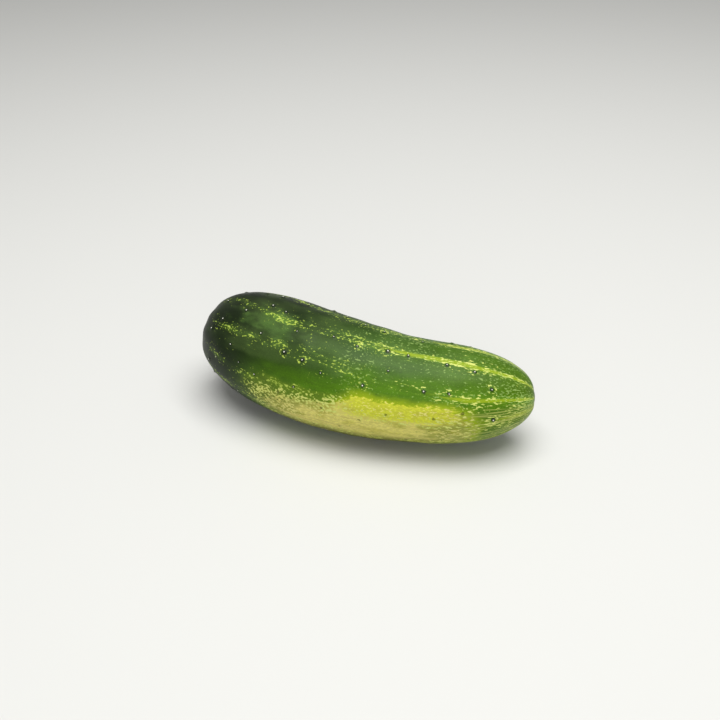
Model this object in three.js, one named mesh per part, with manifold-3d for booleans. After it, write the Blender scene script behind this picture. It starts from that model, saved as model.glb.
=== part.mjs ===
// A fresh slicing cucumber, lying on its side on a level surface.
//
// It is one fruit, so it is one solid: a slightly bent, blunt body with faint ribs, low warts in ten
// lengthwise rows, a short corky stub in a dimple at the stem end and a small flat scar at the blossom end.
// Units are millimetres, +Z is up, X runs from the stem end (-) to the blossom end (+), and the hollow side
// of the bend faces +Y. The origin is on the surface that the fruit lies on, under the middle of its box.
//
// A station is a place along the fruit, from -1 at the stem tip to +1 at the blossom tip. An angle is a place
// round it: 0 is the +Y side, 90 the top, 180 the -Y side and 270 the underside.

import * as THREE from "three";
import { mergeVertices } from "three/addons/utils/BufferGeometryUtils.js";
import Module from "manifold-3d";

// Body
const LENGTH = 165;
const RADIUS = 27;
const TAPER = -0.099; // share of the radius gained by the blossom end, so the stem end is the thicker one
const WAIST = { depth: 0.055, station: 0.358, spread: 0.281 };

// How blunt each end is: a high square keeps the girth further out, and a high round fills the shoulder.
const STEM_END = { square: 3.82, round: 2.045 };
const BLOSSOM_END = { square: 3.336, round: 2.171 };

// Bend of the axis, in the plane of the surface, and how far the two ends lift off it
const BEND = 14.7;
const BEND_TIGHTER_INSIDE = 5.1;
const BEND_SKEW = -3.5;
const END_LIFT = 2.4;

// Relief of the skin
const DEGREE = Math.PI / 180;
const CARPELS = { count: 3, height: 0.4, angle: 60 * DEGREE };
const RIBS = { count: 10, angle: 32 * DEGREE, height: 0.12, heightAtEnds: 0.22 };
const RELIEF_FULL_AT_RADIUS = 12;

// Stem end: a stub where the stalk broke off, in a dimple
const STEM_DIMPLE = { depth: 2.0, width: 7.5 };
const STEM_STUB = { radius: 3.4, height: 1.7, slope: 0.7 };

// Blossom end: a scar where the flower fell off
const BLOSSOM_DIMPLE = { depth: 0.9, width: 5.5 };
const BLOSSOM_SCAR = { radius: 2.3, height: 0.35, slope: 0.5 };

// Warts
const WART = { sides: 5, rootRadius: 2.6, rootDepth: 1.0, tipRadius: 0.6, tipHeight: 0.55 };
const WART_ROWS = {
  firstStation: -0.9,
  lastStation: 0.82,
  stemSpacing: 10,
  blossomSpacing: 15,
  jitterAlong: 3.2,
  jitterRound: 12 * DEGREE,
  seed: 79760168,
};

// The flat spot that the fruit rests on is this far above the lowest point of the round body.
const REST_CUT = 0.35;
const RESTING_BLOCK_THICKNESS = 20;

// Mesh
const SIDES = 50;
const BODY_RINGS = 38;
const STEM_RING_RADII = [1.7, 3.4, 4.1, 5.4, 7.4, 10];
const BLOSSOM_RING_RADII = [1.15, 2.3, 2.8, 4, 6, 9];
const BODY_STARTS_AT_RADIUS = 13;
const AXIS_STEP = 1e-3; // of a station, over which the axis's direction is taken
const NORMAL_STEP = 2e-3; // of a station and of a radian, over which the skin's direction is taken
const SAME_POINT = 1e-4;

const SKIN = { color: 0x3d5f26, roughness: 0.42, metalness: 0 };

// Park and Miller's generator
const GENERATOR = { multiplier: 16807, modulus: 2147483647 };

// A seeded draw from 0 to 1
function drawsFrom(seed) {
  let state = seed;
  return () => {
    state = (state * GENERATOR.multiplier) % GENERATOR.modulus;
    return state / GENERATOR.modulus;
  };
}

function smoothStep(from, to, value) {
  const share = Math.min(1, Math.max(0, (value - from) / (to - from)));
  return share * share * (3 - 2 * share);
}

// The radius that the body would have at a station if it had no ends
function girthAt(station) {
  return RADIUS * (1 + TAPER * station);
}

function radiusAt(station) {
  const end = station < 0 ? STEM_END : BLOSSOM_END;
  const cap = Math.max(0, 1 - Math.abs(station) ** end.square) ** (1 / end.round);
  const toWaist = (station - WAIST.station) / WAIST.spread;
  const waist = 1 - WAIST.depth * Math.exp(-toWaist * toWaist);
  return girthAt(station) * cap * waist;
}

// The station near an end (-1 or +1) where the body has this radius
function stationOfRadius(radius, side) {
  const end = side < 0 ? STEM_END : BLOSSOM_END;
  return side * (1 - (radius / girthAt(side)) ** end.round) ** (1 / end.square);
}

function centreAt(station) {
  const s2 = station * station;
  const bend = BEND * s2 - BEND_TIGHTER_INSIDE * (s2 * s2 - s2) - BEND_SKEW * (s2 * station - station);
  const height = girthAt(station) - girthAt(0) + END_LIFT * s2;
  return new THREE.Vector3((station * LENGTH) / 2, bend, height);
}

// The axis at a station: its point, its direction, and the two directions across it
function axisAt(station) {
  const along = centreAt(station + AXIS_STEP).sub(centreAt(station - AXIS_STEP)).normalize();
  const side = new THREE.Vector3(0, 0, 1).cross(along).normalize();
  const up = along.clone().cross(side);
  return { centre: centreAt(station), along, side, up };
}

function reliefAt(station, angle) {
  const towardEnd = station ** 4;
  const ribHeight = RIBS.height + (RIBS.heightAtEnds - RIBS.height) * towardEnd;
  const ribs = -ribHeight * Math.cos(RIBS.count * (angle - RIBS.angle));
  const carpels = CARPELS.height * Math.cos(CARPELS.count * (angle - CARPELS.angle));
  return (ribs + carpels) * smoothStep(0, RELIEF_FULL_AT_RADIUS, radiusAt(station));
}

// How far the end's surface is moved towards the middle of the fruit, at this distance from the axis
function dimpleAt(distance, dimple, raised) {
  const hollow = dimple.depth * Math.exp(-((distance / dimple.width) ** 2));
  const plateau = raised.height * smoothStep(raised.radius + raised.slope, raised.radius, distance);
  return hollow - plateau;
}

function skinPoint(station, angle) {
  const { centre, along, side, up } = axisAt(station);
  const distance = radiusAt(station);
  const reach = distance + reliefAt(station, angle);
  const inwards =
    station < 0
      ? dimpleAt(distance, STEM_DIMPLE, STEM_STUB)
      : -dimpleAt(distance, BLOSSOM_DIMPLE, BLOSSOM_SCAR);
  return centre
    .addScaledVector(side, reach * Math.cos(angle))
    .addScaledVector(up, reach * Math.sin(angle))
    .addScaledVector(along, inwards);
}

function skinNormal(station, angle) {
  const before = skinPoint(station - NORMAL_STEP, angle);
  const lengthwise = skinPoint(station + NORMAL_STEP, angle).sub(before);
  const round = skinPoint(station, angle + NORMAL_STEP).sub(skinPoint(station, angle - NORMAL_STEP));
  return round.cross(lengthwise).normalize();
}

// The stations of the mesh's rings: fixed radii round the two scars, and even steps of arc between them
function ringStations() {
  const start = Math.acos(-stationOfRadius(BODY_STARTS_AT_RADIUS, -1));
  const finish = Math.acos(-stationOfRadius(BODY_STARTS_AT_RADIUS, 1));
  const stem = STEM_RING_RADII.map((radius) => stationOfRadius(radius, -1));
  const blossom = BLOSSOM_RING_RADII.map((radius) => stationOfRadius(radius, 1)).reverse();
  const body = Array.from({ length: BODY_RINGS }, (_, i) => {
    return -Math.cos(start + ((finish - start) * i) / (BODY_RINGS - 1));
  });
  return [...stem, ...body, ...blossom];
}

function bodyGeometry() {
  const stations = ringStations();
  const points = [skinPoint(-1, 0)];
  for (const station of stations) {
    for (let i = 0; i < SIDES; i++) points.push(skinPoint(station, (i * 2 * Math.PI) / SIDES));
  }
  points.push(skinPoint(1, 0));

  const at = (ring, i) => 1 + ring * SIDES + (i % SIDES);
  const lastRing = stations.length - 1;
  const triangles = [];
  for (let i = 0; i < SIDES; i++) {
    triangles.push(0, at(0, i + 1), at(0, i));
    for (let ring = 0; ring < lastRing; ring++) {
      triangles.push(at(ring, i), at(ring, i + 1), at(ring + 1, i + 1));
      triangles.push(at(ring, i), at(ring + 1, i + 1), at(ring + 1, i));
    }
    triangles.push(points.length - 1, at(lastRing, i), at(lastRing, i + 1));
  }
  return new THREE.BufferGeometry().setFromPoints(points).setIndex(triangles);
}

// The stations and angles of the warts: rows between the ribs' grooves, wider apart towards the blossom end
function wartPlaces() {
  const draw = drawsFrom(WART_ROWS.seed);
  const between = (reach) => (2 * draw() - 1) * reach;
  const half = LENGTH / 2;
  const places = [];
  for (let row = 0; row < RIBS.count; row++) {
    const rowAngle = RIBS.angle + (row * 2 * Math.PI) / RIBS.count;
    let along = half * WART_ROWS.firstStation + draw() * WART_ROWS.stemSpacing;
    while (along < half * WART_ROWS.lastStation) {
      const station = (along + between(WART_ROWS.jitterAlong)) / half;
      places.push({ station, angle: rowAngle + between(WART_ROWS.jitterRound) });
      const share = (along / half + 1) / 2;
      along += WART_ROWS.stemSpacing + (WART_ROWS.blossomSpacing - WART_ROWS.stemSpacing) * share;
    }
  }
  return places;
}

// One wart, standing on the skin along +Y before it is placed, with its root sunk in the flesh
function wartGeometry() {
  const profile = [
    new THREE.Vector2(0, -WART.rootDepth),
    new THREE.Vector2(WART.rootRadius, -WART.rootDepth),
    new THREE.Vector2(WART.tipRadius, WART.tipHeight),
    new THREE.Vector2(0, WART.tipHeight),
  ];
  return new THREE.LatheGeometry(profile, WART.sides);
}

function wartMatrix({ station, angle }) {
  const upright = new THREE.Vector3(0, 1, 0);
  const turn = new THREE.Quaternion().setFromUnitVectors(upright, skinNormal(station, angle));
  return new THREE.Matrix4().compose(skinPoint(station, angle), turn, new THREE.Vector3(1, 1, 1));
}

// Solids
const wasm = await Module();
wasm.setup();

function solidOf(geometry) {
  const bare = geometry.clone();
  bare.deleteAttribute("normal");
  bare.deleteAttribute("uv");
  const merged = mergeVertices(bare, SAME_POINT);
  return new wasm.Manifold(
    new wasm.Mesh({
      numProp: 3,
      vertProperties: new Float32Array(merged.attributes.position.array),
      triVerts: new Uint32Array(merged.index.array),
    }),
  );
}

function geometryOf(solid) {
  const mesh = solid.getMesh();
  const positions = new Float32Array(mesh.numVert * 3);
  for (let i = 0; i < mesh.numVert; i++) {
    const start = i * mesh.numProp;
    positions.set(mesh.vertProperties.subarray(start, start + 3), i * 3);
  }
  return new THREE.BufferGeometry()
    .setAttribute("position", new THREE.BufferAttribute(positions, 3))
    .setIndex(new THREE.BufferAttribute(new Uint32Array(mesh.triVerts), 1));
}

// Everything below the resting plane, to cut the flat spot with
function restingBlock(geometry) {
  geometry.computeBoundingBox();
  const middle = geometry.boundingBox.min.z + REST_CUT - RESTING_BLOCK_THICKNESS / 2;
  return new THREE.BoxGeometry(2 * LENGTH, 2 * LENGTH, RESTING_BLOCK_THICKNESS).translate(0, 0, middle);
}

function cucumberGeometry() {
  const body = bodyGeometry();
  let solid = solidOf(body);
  for (const place of wartPlaces()) {
    solid = solid.add(solidOf(wartGeometry().applyMatrix4(wartMatrix(place))));
  }
  solid = solid.subtract(solidOf(restingBlock(body)));

  const geometry = geometryOf(solid);
  geometry.computeBoundingBox();
  const { min, max } = geometry.boundingBox;
  geometry.translate(-(min.x + max.x) / 2, -(min.y + max.y) / 2, -min.z);
  geometry.computeVertexNormals();
  return geometry;
}

const cucumber = new THREE.Mesh(cucumberGeometry(), new THREE.MeshStandardMaterial(SKIN));
cucumber.name = "cucumber";

const part = new THREE.Group();
part.name = "fresh_cucumber";
part.add(cucumber);

export default part;
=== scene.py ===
# A fresh slicing cucumber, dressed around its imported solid.
#
# It is one fruit: a bent, blunt body with low warts, and on it the pale tips left by its spines, the corky
# end of the stalk and the scar of the flower.
# Units are metres, +Z is up, X runs from the stem end (-) to the blossom end (+), and the hollow side of
# the bend faces +Y. A station is a place along the fruit, from -1 at the stem tip to +1 at the blossom tip.
# An angle is a place round it: 0 is the +Y side, 90 degrees the top, 180 the -Y side and 270 the underside.
# Two stations or two depths in brackets say where a smooth change begins and where it is complete.

import math

import bpy
import numpy as np
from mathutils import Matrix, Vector


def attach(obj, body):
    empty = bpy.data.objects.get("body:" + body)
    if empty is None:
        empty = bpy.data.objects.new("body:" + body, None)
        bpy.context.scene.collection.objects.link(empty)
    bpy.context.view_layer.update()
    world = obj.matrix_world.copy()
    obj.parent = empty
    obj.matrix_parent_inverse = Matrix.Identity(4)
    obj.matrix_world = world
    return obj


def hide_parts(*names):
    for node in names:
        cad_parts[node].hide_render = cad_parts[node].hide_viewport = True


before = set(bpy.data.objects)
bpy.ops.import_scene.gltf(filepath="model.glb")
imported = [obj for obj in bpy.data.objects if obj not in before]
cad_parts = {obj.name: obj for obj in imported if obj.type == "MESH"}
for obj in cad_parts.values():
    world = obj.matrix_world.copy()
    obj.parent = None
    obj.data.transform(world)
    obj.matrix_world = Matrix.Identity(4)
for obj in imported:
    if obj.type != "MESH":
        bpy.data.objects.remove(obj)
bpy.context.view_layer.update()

MM = 0.001
DEGREE = math.pi / 180

# Body, as in the part's source
LENGTH = 165 * MM
RADIUS = 27 * MM
TAPER = -0.099
WAIST = {"depth": 0.055, "station": 0.358, "spread": 0.281}
STEM_END = {"square": 3.82, "round": 2.045}
BLOSSOM_END = {"square": 3.336, "round": 2.171}
BEND = 14.7 * MM
BEND_TIGHTER_INSIDE = 5.1 * MM
BEND_SKEW = -3.5 * MM
END_LIFT = 2.4 * MM
CARPELS = {"count": 3, "height": 0.4 * MM, "angle": 60 * DEGREE}
RIBS = {"count": 10, "angle": 32 * DEGREE, "height": 0.12 * MM, "height_at_ends": 0.22 * MM}
RELIEF_FULL_AT_RADIUS = 12 * MM
STEM_DIMPLE = {"depth": 2.0 * MM, "width": 7.5 * MM}
STEM_STUB = {"radius": 3.4 * MM, "height": 1.7 * MM, "slope": 0.7 * MM}
BLOSSOM_DIMPLE = {"depth": 0.9 * MM, "width": 5.5 * MM}
BLOSSOM_SCAR = {"radius": 2.3 * MM, "height": 0.35 * MM, "slope": 0.5 * MM}
REST_CUT = 0.35 * MM
AXIS_STEP = 1e-3  # of a station, over which the axis's direction is taken
NORMAL_STEP = 2e-3  # of a station and of a radian, over which the skin's direction is taken
GENERATOR = {"multiplier": 16807, "modulus": 2147483647}

# Warts, at the places where the part's source has them
WART_ROWS = {
    "first_station": -0.9,
    "last_station": 0.82,
    "stem_spacing": 10 * MM,
    "blossom_spacing": 15 * MM,
    "jitter_along": 3.2 * MM,
    "jitter_round": 12 * DEGREE,
    "seed": 79760168,
}
WART_SIZES = {"smallest": 0.65, "largest": 1.25, "seed": 1907}
WART_SIZE_ON_GROUND_SPOT = 0.8
WART_CLEAR_OF_REST = 1.5 * MM
WART_FORM = {"radius": 1.6 * MM, "height": 0.34 * MM}
SPINE_TIP = {"radius": 0.32 * MM, "height": 0.14 * MM, "lean": 0.25, "sides": 8, "rings": 5, "seed": 5}
SKIN_UNEVENNESS = {"wavelength": 14 * MM, "height": 0.35 * MM}
FLAT_SPOT_TOP = 0.001 * MM  # a vertex that is no higher lies on the flat spot, which stays flat

# Mesh
SIDES = 252
RING_SPACING = 0.62 * MM
RING_SPACING_AT_ENDS = 0.32 * MM
FINE_RINGS_REACH = 9 * MM
MERIDIAN_SAMPLES = 4000

# Lengthwise rows of pale flecks: one over each rib, turned a little more towards the blossom end, where its
# middle goes over into a lime stripe
ROWS = {
    "twist": 10 * DEGREE,
    "wander": 4 * DEGREE,
    "waves": 3,
    "weakest": 0.72,
    "strongest": 1.0,
    "half_width": 2.9 * MM,
    "outskirts": {"half_width": 6.5 * MM, "at_stem": 0.45, "at_blossom": 0.62},
    "lime_from": -0.1,
    "lime_from_latest": 0.55,
    "lime_grows_over": 0.5,
    "stripe_half_width": 1.3 * MM,
    "stripe_edge": {"at": 1.5 * MM, "half_width": 0.75 * MM, "doubled": (-0.4, 0.0)},
    "patchiness": 0.2,
    "patch_length": 0.6,
    "starts": (-1.0, -0.76),
    "at_stem": 0.74,
    "full": (-0.6, 0.2),
    "seed": 1565888452,
}
FLECKS_LENGTHEN = (0.0, 0.7)
DULLER_FLECKS = {"by": 0.35, "toward_stem": (0.6, -0.3), "off_spot": (0.15, 0.0)}

# Fine specks between the rows, more of them on top of the blossom half
SPECKS = {
    "starts": (-0.6, 0.1),
    "density": 0.915,
    "uneven": 0.1,
    "more_on_top": 0.09,
    "more_along": (0.0, 0.6),
    "top": 78 * DEGREE,
    "top_half_width": 24 * DEGREE,
}

# The ground spot, where the fruit lay on the soil and stayed pale: how far it reaches along and round the
# fruit
GROUND_SPOT = {
    "station": 0.12,
    "half_length": 0.62,
    "angle": 206 * DEGREE,
    "half_width": 53 * DEGREE,
    "square": 3.2,
    "stem_width": 0.76,
    "widens": (-0.02, 0.12),
    "shorter_below": 0.22,
    "wavy": 0.06,
}

# The edge of the spot is speckled over a broad margin on its stem half, sharper at its yellow part, and
# streaky at its blossom end. A depth is a share of the way from the edge to the middle of the spot.
SPOT_STEM_HALF_ENDS = (-0.25, 0.05)
SPOT_BLOSSOM_END_STARTS = (0.3, 0.7)
SPOT_EDGE = {"depth": 0.13, "deeper_at_stem": 0.07, "sharpness": 3.5, "softer_at_ends": 2.4}
SPOT_MARGIN = {
    "density": 0.72,
    "reach_at_stem": 0.28,
    "reach_in_middle": 0.15,
    "narrows": (-0.6, 0.0),
    "thins_inside": (0.5, 0.2),
    "starts": (-0.64, -0.28),
    "rounded": 0.1,
    "ends": (0.2, 0.0),
}

# Parts of the spot: clear yellow at its upper edge, olive below, darkened there by painted shade, greenish
# towards its edge, with brown scratches and pale flecks
YELLOW_PART = {
    "station": 0.34,
    "half_length": 0.3,
    "fades_along": 0.15,
    "angle": 168 * DEGREE,
    "half_width": 13 * DEGREE,
    "fades_round": (0.5, 1.5),
}
# Below this line the spot turns olive: partly its real colour, partly painted shade
OLIVE_AND_SHADE_EDGE = (-0.2, 0.45)  # in half widths of the spot, down from its middle line
GREENISH = {
    "at_edge": 0.32,
    "more_at_blossom": 0.45,
    "blossom": (0.1, 0.6),
    "more_at_stem": 0.3,
    "less_in_yellow": 0.6,
}
GROUND_LINES_LESS_IN_YELLOW = 0.4
GROUND_FLECKS = {"density": 0.68, "less_in_yellow": 0.09, "inside": (0.0, 0.15), "fade": (0.75, 0.4)}

# The green next to the spot is deeper, with less bloom and painted sheen, and by the blossom end it has
# long pale lines. How far round the fruit these reach is in half widths of the spot.
DEEP_GREEN = {"near_spot": (-0.75, 0.0), "along": (-0.8, -0.1)}
# Paler grey-green film, partly wax bloom and partly painted sheen, weaker by the spot and at the stem end
BLOOM_AND_SHEEN = {
    "most": 0.5,
    "less_by_spot": 0.4,
    "by_spot": (0.2, 0.8),
    "less_at_stem": 0.1,
    "at_stem": (-0.6, -0.95),
}
LINED_FLANK = {"along": (0.3, 0.75), "round": (1.2, 0.8), "dashes": 0.55}

# The skin's green: how far it is on the way to the brightest one, lowered by painted shade on the upper
# far side, and a patch where it is paler
GREENNESS = {
    "in_middle": 0.43,
    "per_station": 0.5,
    "painted_shade_by": 0.13,
    "painted_shade_at": 50 * DEGREE,
    "half_width": 60 * DEGREE,
}
PALER_PATCH = {"station": -0.46, "angle": 116 * DEGREE, "half_length": 0.2, "half_width": 20 * DEGREE}

# A broken ring of flecks round each wart, and the wart's dark foot, mostly its own colour and partly a
# painted shadow below it
WART_RING = {"at": 1.9 * MM, "half_width": 0.9 * MM, "density": 0.87, "starts": (-0.9, -0.2)}
WART_FOOT_AND_SHADOW = {"inside": 0.7 * MM, "outside": 1.3 * MM}

# Scars at the two ends
SCARS = {"stem": 3.7 * MM, "blossom": 2.4 * MM, "edge": (-0.1 * MM, 0.4 * MM), "rim": 0.5 * MM}
VESSELS = {"count": 9, "sway": 2, "edge": 0.6, "inside": 1.25 * MM, "half_width": 0.4 * MM}

# Slow waves in the skin's colour: how many there are, and the most crests along and round the fruit
SLOW_WAVES = {"count": 9, "along": 5, "round": 4, "seed": 77}

# Patterns of the skin, with the length and width at which their marks repeat. Real pores are too fine to
# show, so they are drawn as coarse as they need to be.
PATTERNS = {
    "blotches": (24 * MM, 12 * MM),
    "clouds": (7 * MM, 4 * MM),
    "streaks": (9 * MM, 1.3 * MM),
    "fine_lines": (26 * MM, 0.7 * MM),
    "flecks": (1.25 * MM, 0.85 * MM),
    "dashes": (2.0 * MM, 0.85 * MM),
    "mist": (1.3 * MM, 0.95 * MM),
    "pores": (0.6 * MM, 0.5 * MM),
}
PATTERN_MIDDLE = 0.5
PATTERN_RANGE = (0.3, 0.7)  # nearly all values of a pattern lie between these

# The green from the stem end to the blossom end, darkest at the stem end, where it is partly its real
# colour and partly painted shade
GREENS = (
    (0.0, "161f0e"),
    (0.2, "1c2a10"),
    (0.35, "2a4013"),
    (0.5, "3a5c16"),
    (0.75, "4c7213"),
    (1.0, "53750b"),
)
BLOTCH_SHIFT = 0.15
CLOUD_PUSH_ON_MARKS = 0.3
GROUND_COLOUR = "dcd470"

# Thin layers of colour in the order in which they are laid. Each has a field (none is the same everywhere),
# a colour, the pattern that pushes the field up or, with a minus, down, and how much it pushes. The layer
# starts at the first value of the pushed field, is complete at the second, and then hides a share of what
# is below it.
GREEN_LAYERS = (
    ("deep", "548006", "clouds", 0.2, 0.0, 1.0, 0.8),
    # wax bloom with painted sheen, in faint paler grey-green blotches
    ("bloom", "748f4c", "blotches", 1.0, 0.35, 0.65, 0.16),
    ("paler", "648a3c", "clouds", 1.5, 0.2, 1.2, 0.5),
    (None, "0d1805", "clouds", -1.0, -0.2, 0.2, 0.14),
    (None, "0d1805", "streaks", -1.0, -0.2, 0.2, 0.12),
    (None, "0d1805", "pores", -1.0, -0.2, 0.2, 0.2),
    ("row_glow", "6f9a28", "clouds", 0.6, 0.3, 1.2, 0.4),
    ("margin", "7c8f22", "clouds", 0.8, 0.1, 0.9, 0.4),
    ("stripe", "8aa01a", "streaks", 0.8, 0.2, 0.65, 0.95),
    ("specks", "9dba66", "mist", 1.0, 0.01, 0.14, 0.62),
    ("halo", "93a812", "clouds", 0.15, -0.04, 0.16, 1.0),
)
GROUND_LAYERS = (
    ("yellow", "cbd038", "flecks", 1.6, 0.1, 0.8, 1.0),
    # olive darkened by painted shade along the spot's lower side
    ("olive", "46560a", "clouds", 0.3, 0.0, 1.0, 0.95),
    ("ground_lines", "a08d52", "fine_lines", 1.0, 0.02, 0.16, 0.45),
    ("greenish", "768828", "clouds", 1.2, 0.0, 0.4, 0.8),
    (None, "b2ae3c", "clouds", 1.0, 0.0, 0.2, 0.5),
    (None, "6f6a2c", "flecks", -1.0, -0.12, 0.1, 0.24),
    ("ground_flecks", "dfd880", "marks", 3.3, 0.78, 1.0, 0.8),
)
SPOT_PUSHED_BY = ("marks", 1.0, -0.06, 0.06, 1.0)
SURFACE_LAYERS = (
    ("flank", "a6ae54", "fine_lines", 2.6, 0.98, 1.2, 0.8),
    ("flecks", "a0b746", "marks", 3.3, 0.78, 1.0, 0.95),
    ("bright_flecks", "cdd472", "marks", 3.3, 0.85, 1.05, 0.95),
    # the wart's dark foot: mostly its own colour, partly painted shadow
    ("wart_foot", "141d0e", "flecks", 2.0, 0.3, 0.8, 0.85),
    ("rubbed_wart", "515c1c", "flecks", 2.0, 0.3, 0.8, 0.75),
    ("scar_rim", "39421c", "pores", 0.5, 0.2, 1.0, 0.8),
    ("stem_scar", "5f5a30", "clouds", 0.8, 0.3, 0.8, 1.0),
    ("blossom_scar", "bfae88", "clouds", 0.8, 0.3, 0.8, 1.0),
    ("scars", "b3a672", "clouds", 2.0, 0.8, 1.4, 0.3),
    ("vessels", "3f3820", "clouds", 0.8, 0.25, 0.8, 0.75),
)

# Finishes
WAX = {"roughness": (0.38, 0.46), "rougher_on_scars": 0.4, "ior": 1.4, "specular_level": 0.22}
FINE_RELIEF = {"depth": 0.1 * MM, "strength": 0.3, "flecks": 0.5}
DRY_CORK = {"colours": ("c8c8b4", "f0f0e6"), "grain": 0.4 * MM, "roughness": 0.7, "ior": 1.45}

# Camera, at the photograph's viewing angle
IMAGE_SIZE = 720
CAMERA = {
    "azimuth": 19.95 * DEGREE,
    "elevation": 34 * DEGREE,
    "distance": 469.3 * MM,
    "lens": 50,
    "body_at_pixel": (355.7, 379.0),
}

# Floor and light
FLOOR = {"half_width": 3.0, "colour": "d4d4d0", "roughness": 0.9}
SOFTBOXES = {
    "overhead_softbox": {"place": (0.12, -0.1, 1.1), "size": (1.0, 0.9), "power": 16},
    "front_softbox": {"place": (0.3, -1.2, 0.5), "size": (0.8, 0.6), "power": 2.8},
}
LIT_POINT = (0, 0, 30 * MM)
ROOM_LIGHT = 0.28


def hex_colour(code):
    """An sRGB colour such as "3d5f26" as linear red, green, blue and alpha."""
    shares = [int(code[i : i + 2], 16) / 255 for i in (0, 2, 4)]
    return (*[s / 12.92 if s <= 0.04045 else ((s + 0.055) / 1.055) ** 2.4 for s in shares], 1.0)


def draws_from(seed):
    """Seeded draws from 0 to 1, by the same rule as in the part's source."""
    state = seed
    while True:
        state = state * GENERATOR["multiplier"] % GENERATOR["modulus"]
        yield state / GENERATOR["modulus"]


def between(low, high, share):
    return low + (high - low) * share


def smooth_step(begin, complete, value):
    """How much of a change has been made, from 0 where it begins to 1 where it is complete."""
    share = np.clip((value - begin) / (complete - begin), 0, 1)
    return share * share * (3 - 2 * share)


def bell(distance, half_width):
    return np.exp(-((distance / half_width) ** 2))


def turn_from(angle, middle):
    """How far an angle is from a middle one, from half a turn back to half a turn on."""
    return np.mod(angle - middle + math.pi, 2 * math.pi) - math.pi


def unit(vectors):
    return vectors / np.linalg.norm(vectors, axis=-1, keepdims=True)


# Form of the body

def girth_at(station):
    """The radius that the body would have at a station if it had no ends."""
    return RADIUS * (1 + TAPER * station)


def radius_at(station):
    square = np.where(station < 0, STEM_END["square"], BLOSSOM_END["square"])
    roundness = np.where(station < 0, STEM_END["round"], BLOSSOM_END["round"])
    cap = np.clip(1 - np.abs(station) ** square, 0, None) ** (1 / roundness)
    to_waist = (station - WAIST["station"]) / WAIST["spread"]
    return girth_at(station) * cap * (1 - WAIST["depth"] * np.exp(-(to_waist**2)))


def centre_at(station):
    tighter = BEND_TIGHTER_INSIDE * (station**4 - station**2)
    bend = BEND * station**2 - tighter - BEND_SKEW * (station**3 - station)
    height = girth_at(station) - girth_at(0) + END_LIFT * station**2
    return np.stack([station * LENGTH / 2, bend, height], axis=-1)


def relief_at(station, angle):
    height = between(RIBS["height"], RIBS["height_at_ends"], station**4)
    ribs = -height * np.cos(RIBS["count"] * (angle - RIBS["angle"]))
    carpels = CARPELS["height"] * np.cos(CARPELS["count"] * (angle - CARPELS["angle"]))
    return (ribs + carpels) * smooth_step(0, RELIEF_FULL_AT_RADIUS, radius_at(station))


def dimple_at(distance, dimple, raised):
    """How far an end's surface is moved towards the middle of the fruit, at this distance from the axis."""
    hollow = dimple["depth"] * np.exp(-((distance / dimple["width"]) ** 2))
    foot = raised["radius"] + raised["slope"]
    return hollow - raised["height"] * (1 - smooth_step(raised["radius"], foot, distance))


def inwards_at(station):
    distance = radius_at(station)
    at_stem = dimple_at(distance, STEM_DIMPLE, STEM_STUB)
    at_blossom = -dimple_at(distance, BLOSSOM_DIMPLE, BLOSSOM_SCAR)
    return np.where(station < 0, at_stem, at_blossom)


def skin_point(station, angle):
    """Points on the skin, with the body's middle at the origin. Both arguments are arrays of one shape."""
    along = unit(centre_at(station + AXIS_STEP) - centre_at(station - AXIS_STEP))
    side = unit(np.cross((0.0, 0.0, 1.0), along))
    up = np.cross(along, side)
    reach = radius_at(station) + relief_at(station, angle)
    return (
        centre_at(station)
        + side * (reach * np.cos(angle))[..., None]
        + up * (reach * np.sin(angle))[..., None]
        + along * inwards_at(station)[..., None]
    )


def skin_normal(station, angle):
    lengthwise = skin_point(station + NORMAL_STEP, angle) - skin_point(station - NORMAL_STEP, angle)
    around = skin_point(station, angle + NORMAL_STEP) - skin_point(station, angle - NORMAL_STEP)
    return unit(np.cross(around, lengthwise))


def ring_stations():
    """The stations of the mesh's rings, evenly spaced over the skin and closer together near both tips, and
    how far along the skin each ring is from the middle of the fruit."""
    stations = -np.cos(np.linspace(0, math.pi, MERIDIAN_SAMPLES))
    steps = np.hypot(np.diff(stations * LENGTH / 2 + inwards_at(stations)), np.diff(radius_at(stations)))
    arcs = np.concatenate([[0], np.cumsum(steps)])
    from_tip = np.minimum(arcs, arcs[-1] - arcs)
    spacing = between(RING_SPACING_AT_ENDS, RING_SPACING, smooth_step(0, FINE_RINGS_REACH, from_tip))
    ring_numbers = np.concatenate([[0], np.cumsum(steps / spacing[1:])])
    count = round(ring_numbers[-1])
    wanted = np.arange(1, count) * ring_numbers[-1] / count
    middle_arc = np.interp(0, stations, arcs)
    return np.interp(wanted, ring_numbers, stations), np.interp(wanted, ring_numbers, arcs) - middle_arc


# Fields of the skin

def slow_waves(station, angle):
    """A smooth random value from about -1 to 1 that changes over some centimetres of skin."""
    draws = draws_from(SLOW_WAVES["seed"])
    total = np.zeros(station.shape)
    for _ in range(SLOW_WAVES["count"]):
        along = 1 + next(draws) * (SLOW_WAVES["along"] - 1)
        crests = round((2 * next(draws) - 1) * SLOW_WAVES["round"])
        total += np.sin(math.pi * along * station + crests * angle + 2 * math.pi * next(draws))
    return total / math.sqrt(SLOW_WAVES["count"])


def turn_from_spot(angle):
    """How far an angle is from the ground spot's middle line, in half widths of the spot and downwards."""
    return turn_from(angle, GROUND_SPOT["angle"]) / GROUND_SPOT["half_width"]


def ground_depth(station, angle):
    """How deep inside the ground spot a place is: 1 at its middle, 0 at its edge and less outside it."""
    turn = turn_from_spot(angle)
    half_length = GROUND_SPOT["half_length"] * (1 - GROUND_SPOT["shorter_below"] * np.clip(turn, -1, 1))
    width = between(GROUND_SPOT["stem_width"], 1, smooth_step(*GROUND_SPOT["widens"], station))
    along = np.abs(station - GROUND_SPOT["station"]) / half_length
    around = np.abs(turn) / width
    square = GROUND_SPOT["square"]
    inside = 1 - (along**square + around**square) ** (1 / square)
    return inside + GROUND_SPOT["wavy"] * slow_waves(station, angle)


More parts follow.
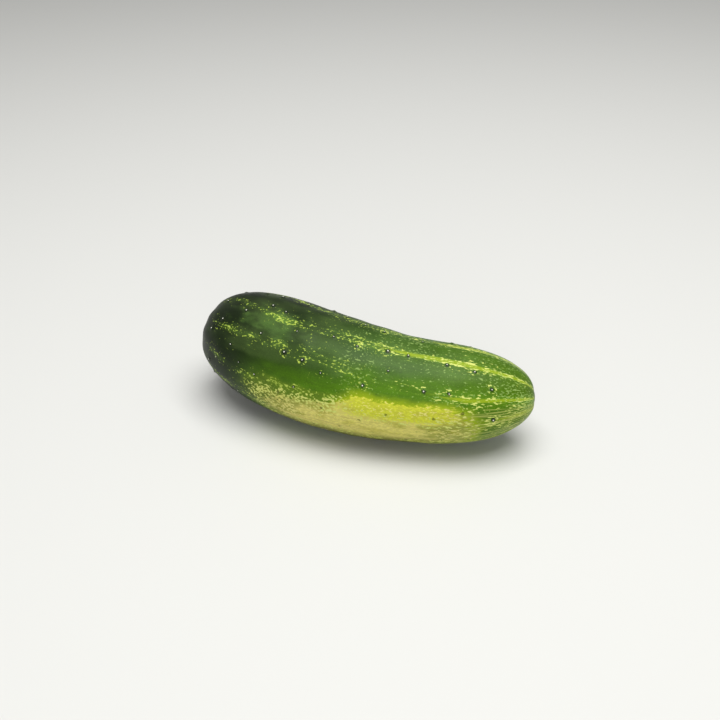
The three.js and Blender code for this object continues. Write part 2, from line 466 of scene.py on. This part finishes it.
def row_fields(station, angle):
    """How dense the flecks of the rows are at each place, and how far it lies in a lime stripe."""
    draws = draws_from(ROWS["seed"])
    nearest = np.full(station.shape, np.inf)
    density = np.zeros(station.shape)
    lime = np.zeros(station.shape)
    for row in range(RIBS["count"]):
        middle = RIBS["angle"] + row * 2 * math.pi / RIBS["count"] + ROWS["twist"] * station
        for wave in range(1, ROWS["waves"] + 1):
            phase = 2 * math.pi * next(draws)
            middle = middle + ROWS["wander"] / wave * np.sin(math.pi * wave * station + phase)
        strength = between(ROWS["weakest"], ROWS["strongest"], next(draws))
        lime_from = between(ROWS["lime_from"], ROWS["lime_from_latest"], next(draws))
        patches = np.sin(2 * math.pi * (station / ROWS["patch_length"] + next(draws)))
        row_lime = strength * smooth_step(lime_from, lime_from + ROWS["lime_grows_over"], station)
        row_density = strength * (1 + ROWS["patchiness"] * (1 - row_lime) * (patches - 1) / 2)

        distance = np.abs(turn_from(angle, middle)) * RADIUS
        is_nearest = distance < nearest
        density = np.where(is_nearest, row_density, density)
        lime = np.where(is_nearest, row_lime, lime)
        nearest = np.minimum(nearest, distance)

    outskirts, edge = ROWS["outskirts"], ROWS["stripe_edge"]
    doubled = smooth_step(*edge["doubled"], station)
    in_middle = bell(nearest, ROWS["half_width"])
    on_edges = bell(nearest - edge["at"], edge["half_width"])
    across = between(in_middle, on_edges, doubled)
    scattering = between(outskirts["at_stem"], outskirts["at_blossom"], doubled)
    in_row = density * np.maximum(across, scattering * bell(nearest, outskirts["half_width"]))
    in_row = in_row * between(ROWS["at_stem"], 1, smooth_step(*ROWS["full"], station))
    return in_row * smooth_step(*ROWS["starts"], station), lime * bell(nearest, ROWS["stripe_half_width"])


def margin_field(station, angle, depth):
    """How dense the flecks are on the margin of the ground spot's stem half."""
    narrower = smooth_step(*SPOT_MARGIN["narrows"], station)
    reach = between(SPOT_MARGIN["reach_at_stem"], SPOT_MARGIN["reach_in_middle"], narrower)
    margin = SPOT_MARGIN["density"] * smooth_step(-reach, 0, depth)
    margin = margin * smooth_step(*SPOT_MARGIN["thins_inside"], depth)
    rounded = SPOT_MARGIN["rounded"] * (slow_waves(station, angle) - turn_from_spot(angle) ** 2)
    margin = margin * smooth_step(*SPOT_MARGIN["starts"], station + rounded)
    return margin * smooth_step(*SPOT_MARGIN["ends"], station)


def yellow_field(station, angle):
    past_end = np.abs(station - YELLOW_PART["station"]) - YELLOW_PART["half_length"]
    along = smooth_step(YELLOW_PART["fades_along"], -YELLOW_PART["fades_along"], past_end)
    across = np.abs(turn_from(angle, YELLOW_PART["angle"])) / YELLOW_PART["half_width"]
    return (1 - smooth_step(*YELLOW_PART["fades_round"], across)) * along


def ground_fields(station, angle, depth):
    """The fields of the ground spot and of the green next to it."""
    turn = turn_from_spot(angle)
    stem_half = 1 - smooth_step(*SPOT_STEM_HALF_ENDS, station)
    blossom_end = smooth_step(*SPOT_BLOSSOM_END_STARTS, station)
    sharpness = SPOT_EDGE["sharpness"] - SPOT_EDGE["softer_at_ends"] * np.maximum(stem_half, blossom_end)
    edge_depth = SPOT_EDGE["depth"] + SPOT_EDGE["deeper_at_stem"] * stem_half
    yellow = yellow_field(station, angle)

    greenish = GREENISH["at_edge"] - depth
    greenish = greenish + GREENISH["more_at_blossom"] * smooth_step(*GREENISH["blossom"], station)
    greenish = greenish + GREENISH["more_at_stem"] * stem_half - GREENISH["less_in_yellow"] * yellow

    density = GROUND_FLECKS["density"] - GROUND_FLECKS["less_in_yellow"] * yellow
    inside = smooth_step(*GROUND_FLECKS["inside"], depth) * smooth_step(*GROUND_FLECKS["fade"], depth)

    near_spot = smooth_step(*DEEP_GREEN["near_spot"], depth)
    # Wax bloom and painted sheen, weaker in the deep green next to the spot
    bloom = BLOOM_AND_SHEEN["most"] - BLOOM_AND_SHEEN["less_by_spot"] * smooth_step(*BLOOM_AND_SHEEN["by_spot"], near_spot)
    lined = smooth_step(*LINED_FLANK["along"], station) * smooth_step(*LINED_FLANK["round"], np.abs(turn))
    return {
        "ground_spot": (depth - edge_depth) * sharpness,
        "margin": margin_field(station, angle, depth),
        "yellow": yellow,
        "olive": smooth_step(*OLIVE_AND_SHADE_EDGE, turn),
        "ground_lines": -GROUND_LINES_LESS_IN_YELLOW * yellow,
        "ground_flecks": density * inside,
        "greenish": greenish,
        "deep": near_spot * smooth_step(*DEEP_GREEN["along"], station),
        "bloom": bloom - BLOOM_AND_SHEEN["less_at_stem"] * smooth_step(*BLOOM_AND_SHEEN["at_stem"], station),
        "halo": depth - stem_half,
        "flank": lined,
    }


def fleck_field(station, in_row, ground, wart_distance):
    """How dense the pale flecks are: in rows, on the spot's margin, on the flank and round the warts."""
    in_ring = smooth_step(WART_RING["half_width"], 0, np.abs(wart_distance - WART_RING["at"]))
    ring = WART_RING["density"] * in_ring * smooth_step(*WART_RING["starts"], station)
    return np.maximum.reduce([in_row, ground["margin"], LINED_FLANK["dashes"] * ground["flank"], ring])


def speck_field(station, angle):
    density = SPECKS["density"] + SPECKS["uneven"] * slow_waves(station, angle)
    on_top = bell(turn_from(angle, SPECKS["top"]), SPECKS["top_half_width"])
    more = SPECKS["more_on_top"] * smooth_step(*SPECKS["more_along"], station) * on_top
    return smooth_step(*SPECKS["starts"], station) * density - 1 + more


def greenness_field(station, angle):
    # Painted shade: the green is darker round the upper far side
    from_painted_shade = turn_from(angle, GREENNESS["painted_shade_at"])
    painted_top_shade = GREENNESS["painted_shade_by"] * bell(from_painted_shade, GREENNESS["half_width"])
    return GREENNESS["per_station"] * station + GREENNESS["in_middle"] - painted_top_shade


def paler_field(station, angle):
    along = (station - PALER_PATCH["station"]) / PALER_PATCH["half_length"]
    across = turn_from(angle, PALER_PATCH["angle"]) / PALER_PATCH["half_width"]
    return bell(np.hypot(along, across), 1)


def scar_fields(station, angle):
    """Cork on the scars at the two ends, with a ring of vessels and a rim."""
    inside = np.where(station < 0, SCARS["stem"], SCARS["blossom"]) - radius_at(station)
    cork = smooth_step(*SCARS["edge"], inside)
    round_axis = np.cos(VESSELS["count"] * angle + VESSELS["sway"] * slow_waves(station, angle))
    in_bundle = smooth_step(-VESSELS["edge"], VESSELS["edge"], round_axis)
    return {
        "scar_rim": bell(inside, SCARS["rim"]),
        "scars": cork,
        "stem_scar": cork * (station < 0),
        "blossom_scar": cork * (station > 0),
        "vessels": in_bundle * bell(inside - VESSELS["inside"], VESSELS["half_width"]),
    }


def skin_fields(station, angle, wart_distance):
    """What the skin is like at each place, apart from the fine patterns that its material adds."""
    depth = ground_depth(station, angle)
    ground = ground_fields(station, angle, depth)
    in_row, stripe = row_fields(station, angle)
    flecks = fleck_field(station, in_row, ground, wart_distance)
    duller = DULLER_FLECKS["by"] * smooth_step(*DULLER_FLECKS["toward_stem"], station)
    foot = smooth_step(WART_FOOT_AND_SHADOW["outside"], WART_FOOT_AND_SHADOW["inside"], wart_distance)
    return {
        **ground,
        **scar_fields(station, angle),
        "greenness": greenness_field(station, angle),
        "paler": paler_field(station, angle),
        "row_glow": in_row,
        "stripe": stripe,
        "specks": speck_field(station, angle),
        "toward_blossom": smooth_step(*FLECKS_LENGTHEN, station),
        "flecks": flecks,
        "bright_flecks": flecks - duller * smooth_step(*DULLER_FLECKS["off_spot"], depth),
        "wart_foot": foot * (depth <= 0),
        "rubbed_wart": foot * (depth > 0),
    }


# Nodes, values and pieces

def add(tree, kind, links=None, result=0, **settings):
    """Adds a node with its settings and gives back one of its outputs. links gives its inputs, each a value
    or another node's output."""
    node = tree.nodes.new(kind)
    for name, value in settings.items():
        setattr(node, name, value)
    for socket, value in (links or {}).items():
        if isinstance(value, bpy.types.NodeSocket):
            tree.links.new(value, node.inputs[socket])
        else:
            node.inputs[socket].default_value = value
    return node.outputs[result] if node.outputs else None


def set_values(mesh, name, kind, values):
    """Stores one number ("FLOAT") or point ("FLOAT_VECTOR") for each vertex of a mesh."""
    field = "vector" if kind == "FLOAT_VECTOR" else "value"
    mesh.attributes.new(name, kind, "POINT").data.foreach_set(field, np.asarray(values, np.float32).ravel())


def new_piece(name, points, faces=()):
    mesh = bpy.data.meshes.new(name)
    mesh.from_pydata(points.tolist(), [], faces)
    piece = bpy.data.objects.new(name, mesh)
    bpy.context.scene.collection.objects.link(piece)
    return piece


# Body

def body_places():
    """The station, angle and distance along the skin of each vertex: a tip, the rings and the other tip."""
    stations, arcs = ring_stations()
    angles = np.arange(SIDES) * 2 * math.pi / SIDES
    station = np.concatenate([[-1], np.repeat(stations, SIDES), [1]])
    angle = np.concatenate([[0], np.tile(angles, len(stations)), [0]])
    arc = np.concatenate([[arcs[0]], np.repeat(arcs, SIDES), [arcs[-1]]])
    return station, angle, arc


def body_faces(rings):
    def at(ring, i):
        return 1 + ring * SIDES + i % SIDES

    last = 1 + rings * SIDES
    faces = [(0, at(0, i + 1), at(0, i)) for i in range(SIDES)]
    for ring in range(rings - 1):
        for i in range(SIDES):
            faces.append((at(ring, i), at(ring, i + 1), at(ring + 1, i + 1), at(ring + 1, i)))
    return faces + [(last, at(rings - 1, i), at(rings - 1, i + 1)) for i in range(SIDES)]


def to_frame(points, shift):
    """Points of the body set down in the row's frame, with nothing below the flat spot that it rests on."""
    placed = points + shift
    placed[..., 2] = np.maximum(placed[..., 2], 0)
    return placed


def body_shift(points):
    low, high = points.min(axis=0), points.max(axis=0)
    return np.array([-(low[0] + high[0]) / 2, -(low[1] + high[1]) / 2, -(low[2] + REST_CUT)])


def distance_to_warts(points, warts):
    """How far each point is from the nearest wart, in metres for a wart of size 1."""
    nearest = np.full(len(points), np.inf)
    for place, size in zip(warts["points"], warts["sizes"]):
        nearest = np.minimum(nearest, np.linalg.norm(points - place, axis=1) / size)
    return nearest


def make_body(station, angle, arc, points, warts):
    body = new_piece("cucumber_body", points, body_faces((len(points) - 2) // SIDES))
    mesh = body.data
    mesh.polygons.foreach_set("use_smooth", [True] * len(mesh.polygons))
    peel = np.stack([arc, RADIUS * np.cos(angle), RADIUS * np.sin(angle)], axis=-1)
    set_values(mesh, "peel", "FLOAT_VECTOR", peel)
    for name, values in skin_fields(station, angle, distance_to_warts(points, warts)).items():
        set_values(mesh, name, "FLOAT", values)
    return body


# Warts

def wart_places():
    """The stations and angles of the warts, by the same rule and draws as in the part's source."""
    draws = draws_from(WART_ROWS["seed"])
    half = LENGTH / 2
    places = []
    for row in range(RIBS["count"]):
        row_angle = RIBS["angle"] + row * 2 * math.pi / RIBS["count"]
        along = half * WART_ROWS["first_station"] + next(draws) * WART_ROWS["stem_spacing"]
        while along < half * WART_ROWS["last_station"]:
            station = (along + (2 * next(draws) - 1) * WART_ROWS["jitter_along"]) / half
            places.append((station, row_angle + (2 * next(draws) - 1) * WART_ROWS["jitter_round"]))
            share = (along / half + 1) / 2
            along += between(WART_ROWS["stem_spacing"], WART_ROWS["blossom_spacing"], share)
    return np.array(places).T


def measure_warts(shift):
    """The point, size and direction of each wart that stands clear of the surface below. A wart on the
    ground spot is smaller, and its spine tip is rubbed off."""
    station, angle = wart_places()
    points = to_frame(skin_point(station, angle), shift)
    on_spot = ground_depth(station, angle) > 0
    draws = draws_from(WART_SIZES["seed"])
    sizes = np.array([between(WART_SIZES["smallest"], WART_SIZES["largest"], next(draws)) for _ in station])
    sizes = np.where(on_spot, sizes * WART_SIZE_ON_GROUND_SPOT, sizes)
    standing = points[:, 2] > WART_CLEAR_OF_REST
    return {
        "points": points[standing],
        "sizes": sizes[standing],
        "directions": skin_normal(station, angle)[standing],
        "tips": ~on_spot[standing],
    }


def make_wart_points(warts):
    marks = new_piece("wart_points", warts["points"])
    set_values(marks.data, "wart_size", "FLOAT", warts["sizes"])
    set_values(marks.data, "wart_direction", "FLOAT_VECTOR", warts["directions"])
    set_values(marks.data, "has_tip", "FLOAT", warts["tips"])
    return marks


# Geometry nodes

def new_tree(name, sizes):
    """An empty geometry tree with one input for each named size, an object or a number."""
    tree = bpy.data.node_groups.new(name, "GeometryNodeTree")
    tree.is_modifier = True
    tree.interface.new_socket("Geometry", in_out="OUTPUT", socket_type="NodeSocketGeometry")
    tree.interface.new_socket("Geometry", in_out="INPUT", socket_type="NodeSocketGeometry")
    for size, kind in sizes.items():
        tree.interface.new_socket(size, in_out="INPUT", socket_type=kind)
    return tree


def run_tree(piece, tree, inputs):
    """Runs a geometry tree on a piece and keeps the result as the piece's plain mesh."""
    modifier = piece.modifiers.new(tree.name, "NODES")
    modifier.node_group = tree
    for socket in tree.interface.items_tree:
        if socket.in_out == "INPUT" and socket.name in inputs:
            modifier[socket.identifier] = inputs[socket.name]
    evaluated = piece.evaluated_get(bpy.context.evaluated_depsgraph_get())
    made = bpy.data.meshes.new_from_object(evaluated)
    piece.modifiers.clear()
    piece.data = made
    made.name = piece.name


def end_tree(tree, geometry, material):
    whole = add(tree, "GeometryNodeRealizeInstances", {"Geometry": geometry})
    finish = add(tree, "GeometryNodeSetMaterial", {"Geometry": whole, "Material": material})
    add(tree, "NodeGroupOutput", {"Geometry": finish})


def wart_tree():
    """Raises a low round wart on the skin at each wart point, and leaves the skin between them a little
    uneven."""
    tree = new_tree(
        "raise_warts",
        {
            "Wart points": "NodeSocketObject",
            "Wart radius": "NodeSocketFloat",
            "Wart height": "NodeSocketFloat",
            "Unevenness wavelength": "NodeSocketFloat",
            "Unevenness height": "NodeSocketFloat",
            "Material": "NodeSocketMaterial",
        },
    )
    given = add(tree, "NodeGroupInput").node.outputs
    marks = add(tree, "GeometryNodeObjectInfo", {"Object": given["Wart points"]}, "Geometry")
    near = add(tree, "GeometryNodeProximity", {"Geometry": marks}, "Distance", target_element="POINTS")
    nearest = add(tree, "GeometryNodeSampleNearest", {"Geometry": marks}, domain="POINT")
    size_there = add(tree, "GeometryNodeInputNamedAttribute", {"Name": "wart_size"}, data_type="FLOAT")
    picked = {"Geometry": marks, "Value": size_there, "Index": nearest}
    size = add(tree, "GeometryNodeSampleIndex", picked, data_type="FLOAT", domain="POINT")
    distance = add(tree, "ShaderNodeMath", {0: near, 1: size}, operation="DIVIDE")
    foot_to_top = {"Value": distance, "From Min": given["Wart radius"], "From Max": 0.0}
    rise = add(tree, "ShaderNodeMapRange", foot_to_top, interpolation_type="SMOOTHSTEP")
    wart_height = add(tree, "ShaderNodeMath", {0: given["Wart height"], 1: size}, operation="MULTIPLY")

    place = add(tree, "GeometryNodeInputPosition")
    by_wavelength = {0: place, 1: given["Unevenness wavelength"]}
    waves = add(tree, "ShaderNodeVectorMath", by_wavelength, operation="DIVIDE")
    noise = add(tree, "ShaderNodeTexNoise", {"Vector": waves, "Scale": 1.0, "Detail": 1.0})
    low, high = PATTERN_RANGE
    downwards = {"Value": noise, "From Min": low, "From Max": high, "To Min": -1.0, "To Max": 0.0}
    uneven = add(tree, "ShaderNodeMapRange", downwards)
    sunk = add(tree, "ShaderNodeMath", {0: uneven, 1: given["Unevenness height"]}, operation="MULTIPLY")

    lift = add(tree, "ShaderNodeMath", {0: rise, 1: wart_height, 2: sunk}, operation="MULTIPLY_ADD")
    normal = add(tree, "GeometryNodeInputNormal")
    move = add(tree, "ShaderNodeVectorMath", {0: normal, "Scale": lift}, operation="SCALE")
    height = add(tree, "ShaderNodeSeparateXYZ", {"Vector": place}, "Z")
    off_rest = add(tree, "ShaderNodeMath", {0: height, 1: FLAT_SPOT_TOP}, operation="GREATER_THAN")
    moved = {"Geometry": given["Geometry"], "Selection": off_rest, "Offset": move}
    raised = add(tree, "GeometryNodeSetPosition", moved)
    end_tree(tree, raised, given["Material"])
    return tree


def spine_tip_tree():
    """Stands a small blunt pale tip, all that is left of the spine, on top of each wart that has one."""
    tree = new_tree(
        "spine_tips",
        {
            "Tip radius": "NodeSocketFloat",
            "Tip height": "NodeSocketFloat",
            "Wart height": "NodeSocketFloat",
            "Seed": "NodeSocketInt",
            "Material": "NodeSocketMaterial",
        },
    )
    given = add(tree, "NodeGroupInput").node.outputs
    ball = {"Segments": SPINE_TIP["sides"], "Rings": SPINE_TIP["rings"], "Radius": 1.0}
    tip = add(tree, "GeometryNodeMeshUVSphere", ball)
    sizes = {"X": given["Tip radius"], "Y": given["Tip radius"], "Z": given["Tip height"]}
    tip_size = add(tree, "ShaderNodeCombineXYZ", sizes)
    shaped = add(tree, "GeometryNodeTransform", {"Geometry": tip, "Scale": tip_size})
    smooth = add(tree, "GeometryNodeSetShadeSmooth", {"Geometry": shaped})

    stored = {"Name": "wart_direction"}
    direction = add(tree, "GeometryNodeInputNamedAttribute", stored, data_type="FLOAT_VECTOR")
    size = add(tree, "GeometryNodeInputNamedAttribute", {"Name": "wart_size"}, data_type="FLOAT")
    has_tip = add(tree, "GeometryNodeInputNamedAttribute", {"Name": "has_tip"}, data_type="FLOAT")
    rise = add(tree, "ShaderNodeMath", {0: size, 1: given["Wart height"]}, operation="MULTIPLY")
    onto_wart = add(tree, "ShaderNodeVectorMath", {0: direction, "Scale": rise}, operation="SCALE")
    lifted = add(tree, "GeometryNodeSetPosition", {"Geometry": given["Geometry"], "Offset": onto_wart})

    lean = SPINE_TIP["lean"]
    either_way = {0: (-lean, -lean, -lean), 1: (lean, lean, lean), "Seed": given["Seed"]}
    tilt = add(tree, "FunctionNodeRandomValue", either_way, data_type="FLOAT_VECTOR")
    leaning = add(tree, "ShaderNodeVectorMath", {0: direction, 1: tilt}, operation="ADD")
    turn = add(tree, "FunctionNodeAlignRotationToVector", {"Vector": leaning}, axis="Z")
    copies = {"Points": lifted, "Selection": has_tip, "Instance": smooth, "Rotation": turn, "Scale": size}
    placed = add(tree, "GeometryNodeInstanceOnPoints", copies)
    end_tree(tree, placed, given["Material"])
    return tree


# Materials

def new_material(name):
    material = bpy.data.materials.new(name)
    material.use_nodes = True
    material.node_tree.nodes.clear()
    return material


def lay_over(tree, colour, layers, patterns):
    """Lays thin layers on a colour. Gives back the colour, and each layer's share of it under the name of
    its field."""
    shares = {}
    for field, layer_colour, pattern, push, start, complete, most in layers:
        value = add(tree, "ShaderNodeAttribute", result="Fac", attribute_name=field) if field else 0.0
        push_up = {0: patterns[pattern], 1: push, 2: value}
        pushed = add(tree, "ShaderNodeMath", push_up, operation="MULTIPLY_ADD")
        level = push * PATTERN_MIDDLE
        ends = {"Value": pushed, "From Min": start + level, "From Max": complete + level, "To Max": most}
        share = add(tree, "ShaderNodeMapRange", ends, interpolation_type="SMOOTHSTEP")
        over = hex_colour(layer_colour) if isinstance(layer_colour, str) else layer_colour
        colour = add(tree, "ShaderNodeMix", {0: share, 6: colour, 7: over}, 2, data_type="RGBA")
        shares[field] = share
    return colour, shares


def waxy_cucumber_skin():
    """Cucumber skin: dark green tissue under a thin wax, which gives it a broad satin highlight. Corky
    flecks show pale through it, in rows that join into lime stripes towards the blossom end, and the spot
    that lay on the soil stayed yellow."""
    material = new_material("waxy_cucumber_skin")
    tree = material.node_tree
    peel = add(tree, "ShaderNodeAttribute", result="Vector", attribute_name="peel")
    patterns = {}
    for name, (length, width) in PATTERNS.items():
        repeats = (1 / length, 1 / width, 1 / width)
        place = add(tree, "ShaderNodeVectorMath", {0: peel, 1: repeats}, operation="MULTIPLY")
        patterns[name] = add(tree, "ShaderNodeTexNoise", {"Vector": place, "Scale": 1.0, "Detail": 2.0})

    # Flecks lengthen into dashes towards the blossom end, and crowd together in clouds.
    to_blossom = add(tree, "ShaderNodeAttribute", result="Fac", attribute_name="toward_blossom")
    lengthened = {0: to_blossom, 2: patterns["flecks"], 3: patterns["dashes"]}
    marks = add(tree, "ShaderNodeMix", lengthened, data_type="FLOAT")
    clumps = add(tree, "ShaderNodeMath", {0: patterns["clouds"], 1: PATTERN_MIDDLE}, operation="SUBTRACT")
    crowded = {0: clumps, 1: CLOUD_PUSH_ON_MARKS, 2: marks}
    patterns["marks"] = add(tree, "ShaderNodeMath", crowded, operation="MULTIPLY_ADD")

    greenness = add(tree, "ShaderNodeAttribute", result="Fac", attribute_name="greenness")
    shifted = {0: patterns["blotches"], 1: BLOTCH_SHIFT, 2: greenness}
    greenness = add(tree, "ShaderNodeMath", shifted, operation="MULTIPLY_ADD")
    green = add(tree, "ShaderNodeValToRGB", {"Fac": greenness})
    elements = green.node.color_ramp.elements
    for at, _ in GREENS[2:]:
        elements.new(at)
    for element, (at, code) in zip(elements, GREENS):
        element.position = at
        element.color = hex_colour(code)
    green, _ = lay_over(tree, green, GREEN_LAYERS, patterns)
    ground, _ = lay_over(tree, hex_colour(GROUND_COLOUR), GROUND_LAYERS, patterns)
    spot = ("ground_spot", ground, *SPOT_PUSHED_BY)
    skin, shares = lay_over(tree, green, (spot, *SURFACE_LAYERS), patterns)

    low, high = PATTERN_RANGE
    smoothest, roughest = WAX["roughness"]
    blotchy = {"Value": patterns["blotches"], "From Min": low, "From Max": high}
    rough = add(tree, "ShaderNodeMapRange", {**blotchy, "To Min": smoothest, "To Max": roughest})
    rougher = {0: shares["scars"], 1: WAX["rougher_on_scars"], 2: rough}
    rough = add(tree, "ShaderNodeMath", rougher, operation="MULTIPLY_ADD")
    height = {0: shares["flecks"], 1: FINE_RELIEF["flecks"], 2: patterns["pores"]}
    height = add(tree, "ShaderNodeMath", height, operation="MULTIPLY_ADD")
    relief = {"Strength": FINE_RELIEF["strength"], "Distance": FINE_RELIEF["depth"], "Height": height}
    bump = add(tree, "ShaderNodeBump", relief)
    wax = {"Roughness": rough, "IOR": WAX["ior"], "Specular IOR Level": WAX["specular_level"]}
    shader = add(tree, "ShaderNodeBsdfPrincipled", {"Base Color": skin, "Normal": bump, **wax})
    add(tree, "ShaderNodeOutputMaterial", {"Surface": shader})
    return material


def dried_spine():
    """The dry, broken foot of a spine: pale corky tissue with no gloss."""
    material = new_material("dried_spine")
    tree = material.node_tree
    place = add(tree, "ShaderNodeTexCoord", result="Object")
    per_metre = 1 / DRY_CORK["grain"]
    grain = add(tree, "ShaderNodeTexNoise", {"Vector": place, "Scale": per_metre, "Detail": 2.0})
    dark, pale = DRY_CORK["colours"]
    ends = {0: grain, 6: hex_colour(dark), 7: hex_colour(pale)}
    colour = add(tree, "ShaderNodeMix", ends, 2, data_type="RGBA")
    dry = {"Base Color": colour, "Roughness": DRY_CORK["roughness"], "IOR": DRY_CORK["ior"]}
    shader = add(tree, "ShaderNodeBsdfPrincipled", dry)
    add(tree, "ShaderNodeOutputMaterial", {"Surface": shader})
    return material


# Stage

def make_stage():
    half = FLOOR["half_width"]
    corners = np.array([(-half, -half, 0), (half, -half, 0), (half, half, 0), (-half, half, 0)])
    floor = new_piece("floor", corners, [(0, 1, 2, 3)])
    material = new_material("pale_floor")
    tree = material.node_tree
    matt = {"Base Color": hex_colour(FLOOR["colour"]), "Roughness": FLOOR["roughness"]}
    shader = add(tree, "ShaderNodeBsdfPrincipled", matt)
    add(tree, "ShaderNodeOutputMaterial", {"Surface": shader})
    floor.data.materials.append(material)


def add_softbox(name, place, size, power):
    light = bpy.data.lights.new(name, "AREA")
    light.shape = "RECTANGLE"
    light.size, light.size_y = size
    light.energy = power
    lamp = bpy.data.objects.new(name, light)
    lamp.location = place
    lamp.rotation_mode = "QUATERNION"
    lamp.rotation_quaternion = (Vector(LIT_POINT) - Vector(place)).to_track_quat("-Z", "Y")
    bpy.context.scene.collection.objects.link(lamp)


def make_lights():
    for name, softbox in SOFTBOXES.items():
        add_softbox(name, **softbox)
    world = bpy.data.worlds.new("studio")
    bpy.context.scene.world = world
    world.use_nodes = True
    background = world.node_tree.nodes["Background"]
    background.inputs["Color"].default_value = (1, 1, 1, 1)
    background.inputs["Strength"].default_value = ROOM_LIGHT


def make_camera(target):
    azimuth, elevation = CAMERA["azimuth"], CAMERA["elevation"]
    level = math.cos(elevation)
    back = Vector((math.sin(azimuth) * level, -math.cos(azimuth) * level, math.sin(elevation)))
    data = bpy.data.cameras.new("camera")
    data.lens = CAMERA["lens"]
    across, down = CAMERA["body_at_pixel"]
    data.shift_x = (IMAGE_SIZE / 2 - across) / IMAGE_SIZE
    data.shift_y = (down - IMAGE_SIZE / 2) / IMAGE_SIZE
    camera = bpy.data.objects.new("camera", data)
    camera.location = Vector(target) + back * CAMERA["distance"]
    camera.rotation_mode = "QUATERNION"
    camera.rotation_quaternion = (-back).to_track_quat("-Z", "Y")
    bpy.context.scene.collection.objects.link(camera)
    bpy.context.scene.camera = camera


# Putting it together

station, angle, arc = body_places()
points = skin_point(station, angle)
shift = body_shift(points)

bpy.context.scene.view_settings.view_transform = "Standard"
make_camera(shift)
make_stage()
make_lights()

warts = measure_warts(shift)
body = make_body(station, angle, arc, to_frame(points, shift), warts)
wart_marks = make_wart_points(warts)
run_tree(
    body,
    wart_tree(),
    {
        "Wart points": wart_marks,
        "Wart radius": WART_FORM["radius"],
        "Wart height": WART_FORM["height"],
        "Unevenness wavelength": SKIN_UNEVENNESS["wavelength"],
        "Unevenness height": SKIN_UNEVENNESS["height"],
        "Material": waxy_cucumber_skin(),
    },
)
run_tree(
    wart_marks,
    spine_tip_tree(),
    {
        "Tip radius": SPINE_TIP["radius"],
        "Tip height": SPINE_TIP["height"],
        "Wart height": WART_FORM["height"],
        "Seed": SPINE_TIP["seed"],
        "Material": dried_spine(),
    },
)
wart_marks.name = "spine_tips"

for piece in (body, wart_marks):
    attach(piece, "root")
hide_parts("cucumber")
